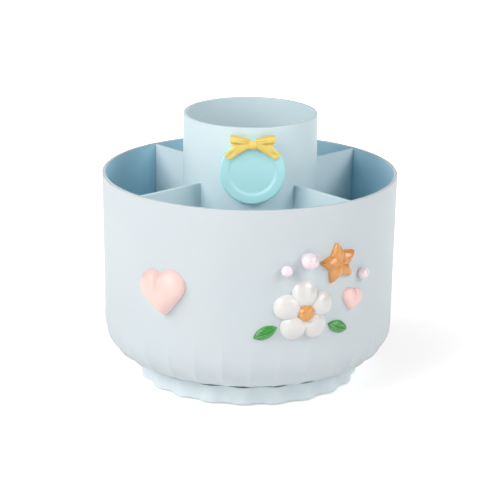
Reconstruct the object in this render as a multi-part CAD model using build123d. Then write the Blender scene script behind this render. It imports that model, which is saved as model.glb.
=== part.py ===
from build123d import *
import os
from math import cos, degrees, pi, radians, sin, sqrt, tan

# Rotating pen holder. Lengths are in millimetres and angles in degrees.
# The origin is on the desk under the turning axis, +Z is up and -Y is the front.

# Outer cup
rim_diameter = 150.0
cup_height = 96.1
cup_wall = 1.8
cup_floor = 2.4
cup_draft = 1.08
cup_round = 19.4
rim_round = 0.4

# Flat flutes round the cup's lower edge
flute_count = 32
flute_depth = 0.3
flute_fade = 7.6
flute_phase = -1.85

# Insert: centre cup and dividers in one moulding
tube_diameter = 67.8
tube_wall = 1.7
tube_rise = 30.6
tube_floor = 1.8
tube_edge_round = 0.4
divider_count = 4
divider_wall = 1.6
divider_drop = 0.5
insert_clearance = 0.2
boss_roof = 2.0
boss_wall = 2.0

# Scalloped base
base_diameter = 112.0
lobe_count = 20
lobe_depth = 2.2
base_wall = 2.2
base_floor = 2.2
base_lip_wall = 1.0
base_lip_depth = 3.0
base_edge_round = 0.45
skirt_gap = 0.8
running_gap = 1.3
hub_wall = 4.0
hub_gap = 0.6

# Rubber feet
foot_count = 6
foot_diameter = 10.0
foot_inset = 7.5
foot_edge_round = 0.6

# Ball bearing between the base and the turntable plate
ball_count = 12
ball_diameter = 5.0
race_clearance = 0.1
race_depth = 0.8
race_inset = 8.0
cage_thickness = 1.6
cage_width = 8.0
pocket_clearance = 0.15

# Turntable plate and the pivot post under it
plate_thickness = 2.1
plate_clearance = 3.4
pivot_diameter = 8.0
pivot_clearance = 0.05
pivot_proud = 0.2
pivot_roof = 1.5

# Screws and the washer
screw_diameter = 3.0
screw_head_diameter = 6.0
screw_head_height = 1.5
screw_clearance = 0.05
screw_tip_room = 0.5
screw_count = 4
screw_circle = 40.0
plate_screw_length = 10.0
socket_width = 2.0
socket_depth = 0.9
washer_diameter = 15.0
washer_thickness = 0.9
desk_clearance = 0.6

# Charms: glued on, with the back let into the curve that carries them
glue_film = 0.1
charm_sink = 2.0
soft_point = 0.4

# Dish and bow on the centre cup
dish_angle = 4.4
dish_drop = 21.6
dish_diameter = 33.0
dish_height = 3.4
dish_floor = 1.7
dish_rim_width = 6.2
dish_rim_round = 1.0
bow_rise = 14.0
bow_width = 23.4
bow_loop_height = 7.4
bow_waist_height = 3.6
bow_thickness = 3.4
bow_lift = 1.4
bow_knot_width = 4.6
bow_knot_height = 5.4
bow_knot_proud = 1.0
bow_tail_length = 14.6
bow_tail_width = 3.8
bow_tail_slope = 29.0
bow_edge_round = 0.8

# Heart and flower on the outer cup: angle round the wall, and height above the cup's underside
heart_angle = -31.5
heart_rise = 48.6
heart_tilt = 9.0
heart_side = 15.4
heart_thickness = 6.0
heart_edge_round = 3.0
flower_angle = 24.0
flower_rise = 43.6
flower_petal_count = 5
flower_petal_diameter = 13.2
flower_petal_reach = 9.5
flower_thickness = 3.6
flower_edge_round = 2.4
flower_notch_round = 0.6
flower_centre_diameter = 9.6
flower_centre_height = 2.2

# Charms round the flower: way round the wall and up from the flower's centre
star_across = 18.8
star_up = 22.4
star_tilt = 10.0
star_point_count = 5
star_diameter = 24.0
star_waist_diameter = 13.4
star_thickness = 3.8
star_edge_round = 1.5
small_heart_across = 27.8
small_heart_up = 1.4
small_heart_tilt = -14.0
small_heart_side = 7.6
small_heart_thickness = 3.4
small_heart_edge_round = 1.4
pearls_across_up_diameter = [(1.3, 26.4, 8.4), (-9.7, 21.9, 5.6), (34.2, 14.4, 5.6)]
pearl_flat = 0.9
leaf_length = 13.0
leaf_width = 6.4
leaf_thickness = 1.8
leaf_edge_round = 0.7
leaves_across_up_tilt = [(-19.4, -9.8, 205.0), (19.4, -10.6, -22.0)]

# Heights and radii that follow from the sizes above
foot_height = desk_clearance + screw_head_height + washer_thickness + pivot_proud
base_floor_top = foot_height + base_floor
race_room = ball_diameter / 2 + race_clearance
ball_height = base_floor_top - race_depth + race_room
plate_underside = ball_height + race_room - race_depth
cup_underside = plate_underside + plate_thickness
cup_floor_top = cup_underside + cup_floor
rim_top = cup_underside + cup_height
tube_top = rim_top + tube_rise
divider_top = rim_top - divider_drop
base_top = cup_underside - running_gap
base_inner_radius = base_diameter / 2 - lobe_depth - base_wall
plate_radius = base_inner_radius - plate_clearance
race_radius = plate_radius - race_inset
hub_radius = pivot_diameter / 2 + hub_wall
hub_top = plate_underside - hub_gap
pivot_bottom = foot_height - pivot_proud
washer_bottom = pivot_bottom - washer_thickness
pivot_hole_top = cup_underside - pivot_roof
pivot_screw_length = pivot_hole_top - screw_tip_room - washer_bottom
plate_hole_top = plate_underside + plate_screw_length + screw_tip_room
tube_floor_underside = plate_hole_top + boss_roof
screw_hole = screw_diameter / 2 + screw_clearance
boss_radius = screw_hole + boss_wall


def corner(outline, point, radius):
    """Round the outline's corner that lies nearest to a point."""
    return fillet(outline.vertices().sort_by_distance(point)[0], radius)


def turned(outline):
    """Turn an outline of radii and heights about the holder's axis."""
    return revolve(Plane.XZ * outline, Axis.Z)


def ring_of(count, radius, piece, phase=0.0):
    """Copies of a piece spaced evenly round the holder's axis."""
    return [place * piece for place in PolarLocations(radius, count, start_angle=phase)]


def disc(radius, low, high):
    """A round plate between two heights, on the holder's axis."""
    return Pos(0, 0, low) * Cylinder(radius, high - low, align=(Align.CENTER, Align.CENTER, Align.MIN))


def wall_radius(height):
    """The outer cup's outside radius at a height on its tapered wall."""
    return rim_diameter / 2 - (rim_top - height) * tan(radians(cup_draft))


def cup_room(inset, low, high):
    """The bowl's outside shape drawn in by an inset, between two heights."""
    foot = (wall_radius(low) - inset, low)
    lip = (wall_radius(high) - inset, high)
    outline = make_face(Polyline((0, low), foot, lip, (0, high), close=True))
    return turned(corner(outline, foot, cup_round - inset))


def flute_cutter():
    """A straight-sided cutter whose edge follows the wall, the flute's depth inside it."""
    arc_height = cup_underside + cup_round
    start_height = arc_height + flute_fade
    arc_radius = wall_radius(arc_height) - cup_round
    deep = cup_round - flute_depth
    slant = sqrt(0.5) * deep
    edge = Line((wall_radius(start_height), start_height), (arc_radius + deep, arc_height))
    curve = ThreePointArc(
        edge @ 1,
        (arc_radius + slant, arc_height - slant),
        (arc_radius, cup_underside),
    )
    outside = Polyline(
        curve @ 1,
        (arc_radius, cup_underside - cup_floor),
        (rim_diameter, cup_underside - cup_floor),
        (rim_diameter, start_height),
        edge @ 0,
    )
    flute_pitch = pi * rim_diameter / flute_count
    return extrude(Plane.XZ * make_face([edge, curve, outside]), flute_pitch / 2, both=True)


def outer_cup():
    """Tapered bowl with a round lower edge, a thin rim and screw holes in its floor."""
    foot = (wall_radius(cup_underside), cup_underside)
    lip = (rim_diameter / 2, rim_top)
    inner_lip = (rim_diameter / 2 - cup_wall, rim_top)
    inner_foot = (wall_radius(cup_floor_top) - cup_wall, cup_floor_top)
    outline = make_face(
        Polyline((0, cup_underside), foot, lip, inner_lip, inner_foot, (0, cup_floor_top), close=True)
    )
    outline = corner(outline, foot, cup_round)
    outline = corner(outline, inner_foot, cup_round - cup_wall)
    outline = corner(outline, lip, rim_round)
    outline = corner(outline, inner_lip, rim_round)
    cup = turned(outline)
    cup -= ring_of(screw_count, screw_circle / 2, disc(screw_hole, cup_underside, cup_floor_top))
    cup -= ring_of(flute_count, 0, flute_cutter(), phase=flute_phase - 90)
    return cup


def divider_insert():
    """Centre cup with its raised floor and bosses, and the dividers that run out to the wall."""
    tube_radius = tube_diameter / 2
    bore_radius = tube_radius - tube_wall
    lip = (tube_radius, tube_top)
    inner_lip = (bore_radius, tube_top)
    outline = make_face(
        Polyline(
            (bore_radius, cup_floor_top),
            (tube_radius, cup_floor_top),
            lip,
            inner_lip,
            close=True,
        )
    )
    outline = corner(corner(outline, lip, tube_edge_round), inner_lip, tube_edge_round)
    tube = turned(outline)
    reach = rim_diameter / 2 - tube_radius + tube_wall / 2
    plate = Pos(tube_radius - tube_wall / 2, 0, cup_floor_top) * Box(
        reach,
        divider_wall,
        divider_top - cup_floor_top,
        align=(Align.MIN, Align.CENTER, Align.MIN),
    )
    bowl = cup_room(cup_wall + insert_clearance, cup_floor_top, rim_top)
    dividers = [bowl & plate_at for plate_at in ring_of(divider_count, 0, plate, phase=45)]
    floor = disc(bore_radius, tube_floor_underside, tube_floor_underside + tube_floor)
    boss = disc(boss_radius, cup_floor_top, tube_floor_underside)
    hole = disc(screw_hole, cup_floor_top, plate_hole_top)
    insert = tube + dividers + floor + ring_of(screw_count, screw_circle / 2, boss)
    return insert - ring_of(screw_count, screw_circle / 2, hole)


def ball_race():
    """Ring-shaped room for the balls, cut into the base and the plate."""
    return Pos(0, 0, ball_height) * Torus(race_radius, race_room)


def turntable_plate():
    """Plate under the cup, with the upper ball race and the pivot post."""
    plate = disc(plate_radius, plate_underside, cup_underside)
    plate += disc(pivot_diameter / 2, pivot_bottom, plate_underside)
    plate -= ball_race()
    plate -= ring_of(screw_count, screw_circle / 2, disc(screw_hole, plate_underside, cup_underside))
    return plate - disc(screw_hole, pivot_bottom, pivot_hole_top)


def screw(seat, length):
    """Pan-head screw driven upwards, with its head under the seat and a square socket."""
    head = disc(screw_head_diameter / 2, seat - screw_head_height, seat)
    head = fillet(head.edges().sort_by(Axis.Z)[0], screw_head_height / 2)
    socket = Pos(0, 0, seat - screw_head_height) * Box(socket_width, socket_width, 2 * socket_depth)
    return head + disc(screw_diameter / 2, seat, seat + length) - socket


def pivot_washer():
    """Washer under the base's floor that carries the pivot screw's head."""
    hole = disc(screw_hole, washer_bottom, pivot_bottom)
    return disc(washer_diameter / 2, washer_bottom, pivot_bottom) - hole


def ball_cage():
    """Flat ring with a round pocket for each ball."""
    low = ball_height - cage_thickness / 2
    high = ball_height + cage_thickness / 2
    ring = disc(race_radius + cage_width / 2, low, high) - disc(race_radius - cage_width / 2, low, high)
    pocket = disc(ball_diameter / 2 + pocket_clearance, low, high)
    return ring - ring_of(ball_count, race_radius, pocket)


def scalloped_outline(inset):
    """Closed line of equal arcs that touch, out over each lobe and in between two lobes."""
    crest = base_diameter / 2 - inset
    valley = crest - lobe_depth
    half_pitch = pi / lobe_count
    k = cos(half_pitch)
    a = 2 * (1 - k)
    b = 2 * (1 + k) * lobe_depth
    c = crest**2 + valley**2 - 2 * k * crest * valley
    arc = (sqrt(b**2 + 4 * a * c) - b) / (2 * a)

    def point(radius, step):
        return Vector(radius * sin(step * half_pitch), -radius * cos(step * half_pitch))

    def joint(step):
        out_step = step if step % 2 == 0 else step + 1
        in_step = step + 1 if step % 2 == 0 else step
        return (point(crest - arc, out_step) + point(valley + arc, in_step)) / 2

    arcs = [
        ThreePointArc(joint(step - 1), point(crest if step % 2 == 0 else valley, step), joint(step))
        for step in range(2 * lobe_count)
    ]
    return make_face(arcs)


def scalloped_base():
    """Scalloped skirt with a thin lip, round a floor with the lower ball race and the pivot's hub."""
    skirt = Pos(0, 0, skirt_gap) * extrude(scalloped_outline(0), base_top - skirt_gap)
    skirt = fillet(skirt.faces().sort_by(Axis.Z)[-1].edges(), base_edge_round)
    lip_low = base_top - base_lip_depth
    base = skirt - Pos(0, 0, lip_low) * extrude(scalloped_outline(base_lip_wall), base_lip_depth)
    base -= disc(base_inner_radius, base_floor_top, lip_low)
    base -= disc(base_inner_radius, skirt_gap, foot_height)
    base += disc(hub_radius, base_floor_top, hub_top)
    base -= disc(pivot_diameter / 2 + pivot_clearance, foot_height, hub_top)
    return base - ball_race()


def rubber_foot():
    """Round foot with a soft lower edge."""
    foot = disc(foot_diameter / 2, 0, foot_height)
    return fillet(foot.edges().sort_by(Axis.Z)[0], foot_edge_round)


def wall_plane(angle, height, radius):
    """Plane that touches a round wall: local x runs round it, y up and z out of it."""
    turn = radians(angle)
    outward = Vector(sin(turn), -cos(turn), 0)
    foot = Vector(0, 0, height) + outward * radius
    return Plane(origin=foot, x_dir=(cos(turn), sin(turn), 0), z_dir=outward)


def on_tube(charm):
    """Put a charm on the centre cup at the dish's place, cut to the cup's curve."""
    place = wall_plane(dish_angle, tube_top - dish_drop, tube_diameter / 2)
    return place * charm - disc(tube_diameter / 2 + glue_film, cup_floor_top, tube_top)


def on_cup(charm, angle, rise):
    """Put a charm on the outer cup's wall, cut to the wall's curve."""
    height = cup_underside + rise
    place = wall_plane(angle, height, wall_radius(height))
    return place * charm - cup_room(-glue_film, cup_underside, rim_top)


def by_flower(charm, across, up):
    """Put a charm on the outer cup's wall, so far round it and up from the flower's centre."""
    height = cup_underside + flower_rise + up
    turn = degrees(across / wall_radius(height))
    return on_cup(charm, flower_angle + turn, flower_rise + up)


def pillow(outline, thickness, edge_round):
    """Flat shape raised from the sunk back plane to a thickness, with a soft front edge."""
    body = Pos(0, 0, -charm_sink) * extrude(outline, charm_sink + thickness)
    return fillet(body.faces().sort_by(Axis.Z)[-1].edges(), edge_round)


def dish(margin):
    """Round dish with a raised rim; the margin makes the room that it takes up."""
    edge = dish_diameter / 2 + margin
    crest = dish_height + margin
    rim_inside = dish_diameter / 2 - dish_rim_width - margin
    rim_slope = dish_height - dish_floor
    back_edge = (edge, -charm_sink)
    outer_crest = (edge - dish_rim_round / 2, crest)
    inner_crest = (rim_inside + rim_slope, crest)
    floor_edge = (rim_inside, dish_floor + margin)
    outline = make_face(
        Polyline(
            (0, -charm_sink),
            back_edge,
            outer_crest,
            inner_crest,
            floor_edge,
            (0, dish_floor + margin),
            close=True,
        )
    )
    for point in (outer_crest, inner_crest, floor_edge):
        outline = corner(outline, point, dish_rim_round)
    return revolve(Plane.XZ * outline, Axis.Z)


def bow():
    """Bow with two loops, two tails and a knot, above the dish's centre."""
    low = Pos(0, 0, bow_lift)
    loop = Polyline(
        (0, bow_waist_height / 2),
        (bow_width / 2, bow_loop_height / 2 + bow_lift / 2),
        (bow_width / 2, -bow_loop_height / 2 + bow_lift / 2),
        (0, -bow_waist_height / 2),
        close=True,
    )
    loop = low * extrude(make_face(loop), bow_thickness)
    loop = fillet(loop.faces().sort_by(Axis.X)[-1].edges(), bow_edge_round)
    tail = Rot(0, 0, -bow_tail_slope) * Box(
        bow_tail_length,
        bow_tail_width,
        bow_thickness,
        align=(Align.MIN, Align.CENTER, Align.MIN),
    )
    tail = low * tail
    knot = low * Box(
        bow_knot_width,
        bow_knot_height,
        bow_thickness + bow_knot_proud,
        align=(Align.CENTER, Align.CENTER, Align.MIN),
    )
    knot = fillet(knot.faces().sort_by(Axis.Z)[-1].edges(), bow_edge_round)
    side = loop + tail
    return Pos(0, bow_rise, 0) * (knot + side + mirror(side, Plane.YZ)) - dish(glue_film)


def heart(side, edge_round):
    """Heart outline: a square on its corner with a round lobe on each upper side."""
    lobe_centre = side / sqrt(8)
    outline = Rot(0, 0, 45) * Rectangle(side, side)
    for hand in (-1, 1):
        outline += Pos(hand * lobe_centre, lobe_centre) * Circle(side / 2)
    tip = (0, -side / sqrt(2))
    notch = (0, side / sqrt(2))
    outline = corner(outline, tip, edge_round + soft_point)
    return corner(outline, notch, soft_point)


def star():
    """Star outline with soft points."""
    points = []
    for step in range(2 * star_point_count):
        reach = (star_diameter if step % 2 == 0 else star_waist_diameter) / 2
        turn = pi * step / star_point_count
        points.append((reach * sin(turn), reach * cos(turn)))
    outline = make_face(Polyline(*points, close=True))
    return fillet(outline.vertices(), star_edge_round + soft_point)


def flower():
    """Flower outline: round petals about a common centre."""
    outline = Circle(flower_petal_reach)
    for place in PolarLocations(flower_petal_reach, flower_petal_count, start_angle=90):
        outline += place * Circle(flower_petal_diameter / 2)
    notches = outline.vertices().sort_by_distance((0, 0))[:flower_petal_count]
    return fillet(notches, flower_notch_round)


def flower_centre():
    """Low dome on the flower's front face."""
    half = flower_centre_diameter / 2
    dome = (half**2 + flower_centre_height**2) / (2 * flower_centre_height)
    ball = Pos(0, 0, flower_thickness + flower_centre_height - dome) * Sphere(dome)
    return ball & Pos(0, 0, flower_thickness) * Cylinder(
        dome, dome, align=(Align.CENTER, Align.CENTER, Align.MIN)
    )


def leaf():
    """Pointed leaf outline: two equal arcs."""
    upper = ThreePointArc((0, 0), (leaf_length / 2, leaf_width / 2), (leaf_length, 0))
    lower = ThreePointArc((leaf_length, 0), (leaf_length / 2, -leaf_width / 2), (0, 0))
    outline = make_face([upper, lower])
    return Pos(-leaf_length / 2, 0) * fillet(outline.vertices(), leaf_edge_round + soft_point)


def pearl(diameter):
    """Round bead with a flat back."""
    return Pos(0, 0, diameter / 2 - pearl_flat) * Sphere(diameter / 2)


def all_pieces():
    """Every piece under its name."""
    pieces = {
        "outer_cup": outer_cup(),
        "divider_insert": divider_insert(),
        "turntable_plate": turntable_plate(),
        "turntable_screws": Compound(
            ring_of(screw_count, screw_circle / 2, screw(plate_underside, plate_screw_length))
        ),
        "pivot_washer": pivot_washer(),
        "pivot_screw": screw(washer_bottom, pivot_screw_length),
        "ball_cage": ball_cage(),
        "scalloped_base": scalloped_base(),
    }
    ball = Pos(0, 0, ball_height) * Sphere(ball_diameter / 2)
    for number, piece in enumerate(ring_of(ball_count, race_radius, ball), start=1):
        pieces[f"bearing_ball_{number:02d}"] = piece
    feet = ring_of(foot_count, base_inner_radius - foot_inset, rubber_foot())
    for number, piece in enumerate(feet, start=1):
        pieces[f"rubber_foot_{number}"] = piece
    pieces["dish_charm"] = on_tube(dish(0))
    pieces["bow_charm"] = on_tube(bow())
    large = pillow(heart(heart_side, heart_edge_round), heart_thickness, heart_edge_round)
    pieces["heart_charm"] = on_cup(Rot(0, 0, heart_tilt) * large, heart_angle, heart_rise)
    petals = pillow(flower(), flower_thickness, flower_edge_round)
    pieces["flower_charm"] = on_cup(petals, flower_angle, flower_rise)
    pieces["flower_centre"] = on_cup(flower_centre(), flower_angle, flower_rise)
    soft_star = Rot(0, 0, star_tilt) * pillow(star(), star_thickness, star_edge_round)
    pieces["star_charm"] = by_flower(soft_star, star_across, star_up)
    small_outline = heart(small_heart_side, small_heart_edge_round)
    small = Rot(0, 0, small_heart_tilt) * pillow(small_outline, small_heart_thickness, small_heart_edge_round)
    pieces["small_heart_charm"] = by_flower(small, small_heart_across, small_heart_up)
    for number, (across, up, diameter) in enumerate(pearls_across_up_diameter, start=1):
        pieces[f"pearl_charm_{number}"] = by_flower(pearl(diameter), across, up)
    blade = pillow(leaf(), leaf_thickness, leaf_edge_round)
    for number, (across, up, tilt) in enumerate(leaves_across_up_tilt, start=1):
        pieces[f"leaf_charm_{number}"] = by_flower(Rot(0, 0, tilt) * blade, across, up)
    return pieces


os.makedirs("parts", exist_ok=True)
for name, piece in all_pieces().items():
    export_step(piece, f"parts/{name}.step")
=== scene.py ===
import math

import bmesh
import bpy
from mathutils import Matrix, Vector


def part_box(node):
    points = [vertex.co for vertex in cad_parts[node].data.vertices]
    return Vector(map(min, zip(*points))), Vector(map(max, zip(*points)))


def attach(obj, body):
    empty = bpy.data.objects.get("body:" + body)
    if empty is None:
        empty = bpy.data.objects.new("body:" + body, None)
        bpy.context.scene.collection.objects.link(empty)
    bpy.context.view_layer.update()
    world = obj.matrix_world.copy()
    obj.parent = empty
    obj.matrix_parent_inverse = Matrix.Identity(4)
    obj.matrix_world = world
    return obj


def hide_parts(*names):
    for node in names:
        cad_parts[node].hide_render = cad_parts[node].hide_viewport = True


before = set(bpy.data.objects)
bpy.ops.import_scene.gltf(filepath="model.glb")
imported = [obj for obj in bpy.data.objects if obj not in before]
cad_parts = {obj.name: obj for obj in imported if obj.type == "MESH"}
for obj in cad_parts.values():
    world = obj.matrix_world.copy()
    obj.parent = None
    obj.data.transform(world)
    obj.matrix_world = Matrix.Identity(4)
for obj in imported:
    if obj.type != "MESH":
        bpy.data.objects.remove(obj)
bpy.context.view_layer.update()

# Lengths are in millimetres up to the moment a shape becomes a piece, unless a comment says metres
MM = 0.001
SAME_PLACE = 1e-4

# Boxes and heights read from the frame
CUP_LOW, CUP_HIGH = (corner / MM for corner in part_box("outer_cup"))
INSERT_LOW, INSERT_HIGH = (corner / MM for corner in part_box("divider_insert"))
BASE_LOW, BASE_HIGH = (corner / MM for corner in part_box("scalloped_base"))
BALL_LOW, BALL_HIGH = (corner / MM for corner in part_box("bearing_ball_01"))
FOOT_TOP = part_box("rubber_foot_1")[1].z / MM
UNDERSIDE = CUP_LOW.z
RIM_TOP = CUP_HIGH.z
TUBE_TOP = INSERT_HIGH.z
FLOOR_TOP = INSERT_LOW.z

# Outer cup: a tapered wall, a round lower edge and shallow flutes
RIM_RADIUS = 75.0
CUP_DRAFT = math.radians(1.08)
CUP_WALL = 1.8
CUP_ROUND = 19.4
CUP_ROUND_STEPS = 24
INNER_ROUND_STEPS = 16
WALL_ROWS = 8
RIM_ROUND = 0.4
EDGE_STEPS = 5
FLUTES = 32
FLUTE_DEPTH = 0.45
FLUTE_RIDGE = 0.3
FLUTE_POWER = 3
FLUTE_PHASE = math.radians(-1.85)
FLUTE_FADE = 7.6
FLUTE_FOOT_START = math.radians(50)
FLUTE_FOOT_END = math.radians(86)
FLUTE_LEAST_COSINE = 0.3
FLUTE_STEPS = 24
FLUTE_ROWS = 6

# Centre cup and dividers, one moulding
TUBE_RADIUS = 33.9
TUBE_WALL = 1.7
TUBE_FLOOR_LOW = 21.5
TUBE_FLOOR = 1.8
TUBE_FLOOR_FILLET = 1.5
TUBE_EDGE_ROUND = 0.4
TUBE_STEPS = 192
DIVIDERS = 4
DIVIDER_START = math.radians(45)
DIVIDER_WALL = 1.6
DIVIDER_DROP = 0.5
DIVIDER_EDGE = 0.2
DIVIDER_EDGE_STEPS = 3
INSERT_CLEARANCE = 0.2

# Scalloped base: a tray with a raised lip, a hub and a ball race
LOBES = 20
LOBE_DEPTH = 2.2
LOBE_STEPS = 16
BASE_CREST = BASE_HIGH.y
BASE_WALL = 2.2
BASE_FLOOR = 2.2
BASE_LIP_WALL = 1.0
BASE_LIP_DEPTH = 3.0
BASE_EDGE_ROUND = 0.45
BASE_EDGE_STEPS = 6
BASE_FOOT_ROUND = 0.7
HUB_RADIUS = 8.0
HUB_TOP = 8.4
PIVOT_BORE_RADIUS = 4.05
RACE_CLEARANCE = 0.1
RACE_STEPS = 10

# Charms: how far their backs sink into the wall that they are glued on
WALL_SINK = 0.05
TUBE_SINK = 0.02

# Dish charm, on the centre cup: an angle in degrees, and depths measured outwards from the cup's front
DISH_ANGLE = 4.4
DISH_HEIGHT = TUBE_TOP - 21.6
DISH_RADIUS = 16.5
DISH_FLOOR_RADIUS = 10.7
DISH_SLOPE_RADIUS = 12.6
DISH_SLOPE_STEPS = 10
DISH_FLOOR = 2.4
DISH_RIM = 3.8
DISH_RIM_LEAN = 0.7
DISH_EDGE_ROUND = 1.0
DISH_EDGE_TURN = 85
DISH_EDGE_STEPS = 8
DISH_SHOULDER = -0.6
DISH_SHOULDER_INSET = 0.2
DISH_BACK = -2.0
DISH_BACK_INSET = 1.2
DISH_STEPS = 160

# Bow charm, above the dish's middle: pairs run from the knot's value to the far end's
BOW_RISE = 14.0
BOW_CUTS = 11
UPPER_LOOP = {"reach": 9.7, "middle": (1.5, 2.6), "half": (1.4, 2.1), "low": 2.2, "full": 3.3}
LOWER_LOOP = {"reach": 8.9, "middle": (-0.2, -0.2), "half": (0.9, 1.8), "low": 1.6, "full": 2.5}
LOOP_START = 1.4
LOOP_CORNER = 0.55
LOOP_WIDE_BY = 0.8
LOOP_EDGE_DROP = 0.75
LOOP_FLAT = 0.6
LOOP_PUFF_START = 0.15
LOOP_PUFF_SPAN = 0.7
FOLD_DEPTH = 0.7
FOLD_PLACE = -0.1
FOLD_WIDTH = 0.22
FOLD_START = 0.05
FOLD_END = 0.7
TAIL_START = Vector((1.0, 0.0))
TAIL_BEND = Vector((7.2, -1.2))
TAIL_END = Vector((12.6, -6.5))
TAIL_NECK = 1.4
TAIL_WIDEN = 0.9
TAIL_WIDE_BY = 0.45
TAIL_NARROW = 0.2
TAIL_THICKNESS = 2.0
TAIL_CROWN = 0.3
TAIL_LOW = 2.7
TAIL_LEAN_BACK = 0.8
DIMPLE_DEPTH = 0.6
DIMPLE_PLACE = 0.84
DIMPLE_LENGTH = 0.12
DIMPLE_WIDTH = 0.4
KNOT_HALF_WIDTH = 1.85
KNOT_HALF_HEIGHT = 2.1
KNOT_HALF_DEPTH = 2.2
KNOT_RAISE = 0.1
KNOT_OUT = 3.5
KNOT_SWELL = 0.25
KNOT_CORNER = 0.1
PLEAT_DEPTH = 0.25
PLEAT_PLACE = 0.3
PLEAT_WIDTH = 0.14

# Heart charms, on the outer cup: creases are shares of a heart's side and thickness
HEART_ANGLE = -31.5
HEART_HEIGHT = UNDERSIDE + 48.6
HEART_SIDE = 15.4
HEART_THICKNESS = 6.4
HEART_TILT = math.radians(9)
HEART_TIP_ROUND = 0.16
CREASE_WIDTH = 0.1
CREASE_START = -0.1
CREASE_END = 0.7
CREASE_DEPTH = 0.28

# Flower charm and its centre
FLOWER_ANGLE = 24.0
FLOWER_HEIGHT = UNDERSIDE + 43.6
PETALS = 5
PETAL_RADIUS = 6.6
PETAL_REACH = 9.5
PETAL_THICKNESS = 4.6
PETAL_VALLEY = 0.55
PETAL_STEPS = 48
CENTRE_RADIUS = 4.8
CENTRE_THICKNESS = 5.9
CENTRE_BACK = 1.2
CENTRE_WAVES = 10
CENTRE_WAVE_DEPTH = 0.12
CENTRE_DIMPLE_DEPTH = 0.35
CENTRE_DIMPLE_START = 0.35
CENTRE_DIMPLE_END = 0.75

# Charms round the flower: a place is a distance across and up from the flower's middle
STAR_PLACE = (18.8, 22.4)
STAR_POINTS = 5
STAR_RADIUS = 12.0
STAR_WAIST = 6.7
STAR_THICKNESS = 4.0
STAR_RIDGE = 0.2
STAR_TIP_ROUND = 0.07
STAR_TILT = math.radians(10)
SMALL_HEART_PLACE = (27.8, 1.4)
SMALL_HEART_SIDE = 7.6
SMALL_HEART_THICKNESS = 3.6
SMALL_HEART_TILT = math.radians(-14)

# Each pearl: across, up and diameter
PEARLS = [(1.3, 26.4, 8.4), (-9.7, 21.9, 5.6), (34.2, 14.4, 5.6)]
PEARL_SINK = 0.9
PEARL_NECK_TURN = -40
PEARL_RINGS = 28
PEARL_STEPS = 64
GLUE_COLLAR = 0.25

# Each leaf: across, up and tilt in degrees
LEAVES = [(-19.4, -9.8, 205.0), (19.4, -10.6, -22.0)]
LEAF_HALF_LENGTH = 6.5
LEAF_HALF_WIDTH = 3.2
LEAF_THICKNESS = 2.0
MIDRIB_DEPTH = 0.55
MIDRIB_WIDTH = 0.34
VEIN_DEPTH = 0.28
VEIN_SPACING = 2.2
VEIN_SLANT = 0.9
VEIN_POWER = 4
VEIN_START = 0.2
VEIN_FULL = 0.9

# Finishes
PLASTIC_IOR = 1.53
MELT_CLOUD_MM = 38
PLASTIC_GRAIN_STRENGTH = 0.12
PLASTIC_GRAIN_HEIGHT_MM = 0.02
# Painted shade inside the bowl: how far a face must look towards the axis for it to start, and to be full
PAINTED_SHADE_START = -0.35
PAINTED_SHADE_FULL = -0.75
RESIN_IOR = 1.5
RESIN_COAT_ROUGHNESS = 0.12
RESIN_SKIN_HEIGHT_MM = 0.05

# Studio, in metres: a floor whose glow rises from the holder's foot outwards, and lights that face one point
FLOOR_HALF_WIDTH = 4.0
PAPER_FIBRE_MM = 2.0
GLOW_START = 0.06
GLOW_END = 0.25
GLOW_NEAR = 0.4
GLOW_FAR = 0.85
LIGHT_AIM = Vector((0, 0, 0.07))
LIGHT_COLOUR = "#FFF9F5"
SKY_COLOUR = "#D2E2FF"
SKY_STRENGTH = 0.05

# Camera, from the photograph's outline: where it stands, and where its axis meets the 500-pixel frame
FRAME_PIXELS = 500
CAMERA_DISTANCE = 1300.0
CAMERA_AZIMUTH = math.radians(2.43)
CAMERA_ELEVATION = math.radians(17.128)
CAMERA_ROLL = math.radians(0.667)
CAMERA_SENSOR = 36.0
AIM_HEIGHT = 55.0
FOCAL_PIXELS = 2527.9
AIM_PIXEL = (248.67, 268.64)


# Colour and node helpers
def srgb(code):
    """Linear RGBA of a hex colour."""
    channels = [int(code[start : start + 2], 16) / 255 for start in (1, 3, 5)]
    linear = [value / 12.92 if value <= 0.04045 else ((value + 0.055) / 1.055) ** 2.4 for value in channels]
    return [*linear, 1.0]


def node(tree, kind, links=None, **settings):
    """Add a node with its settings; a link's value is a socket to join or a number to set."""
    made = tree.nodes.new(kind)
    for name, value in settings.items():
        setattr(made, name, value)
    for name, value in (links or {}).items():
        if isinstance(value, bpy.types.NodeSocket):
            tree.links.new(value, made.inputs[name])
        else:
            made.inputs[name].default_value = value
    return made


def new_material(name):
    """An empty material, its node tree and its object coordinates."""
    material = bpy.data.materials.new(name)
    material.use_nodes = True
    tree = material.node_tree
    tree.nodes.clear()
    place = node(tree, "ShaderNodeTexCoord").outputs["Object"]
    return material, tree, place


def end_in_shader(tree, sockets):
    """End a material in its one shader, with links and fixed values on the shader's own sockets."""
    shader = node(tree, "ShaderNodeBsdfPrincipled", sockets)
    node(tree, "ShaderNodeOutputMaterial", {"Surface": shader.outputs["BSDF"]})


def per_metre(size_mm):
    """Texture scale whose features are about one size across."""
    return 1.0 / (size_mm * MM)


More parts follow.
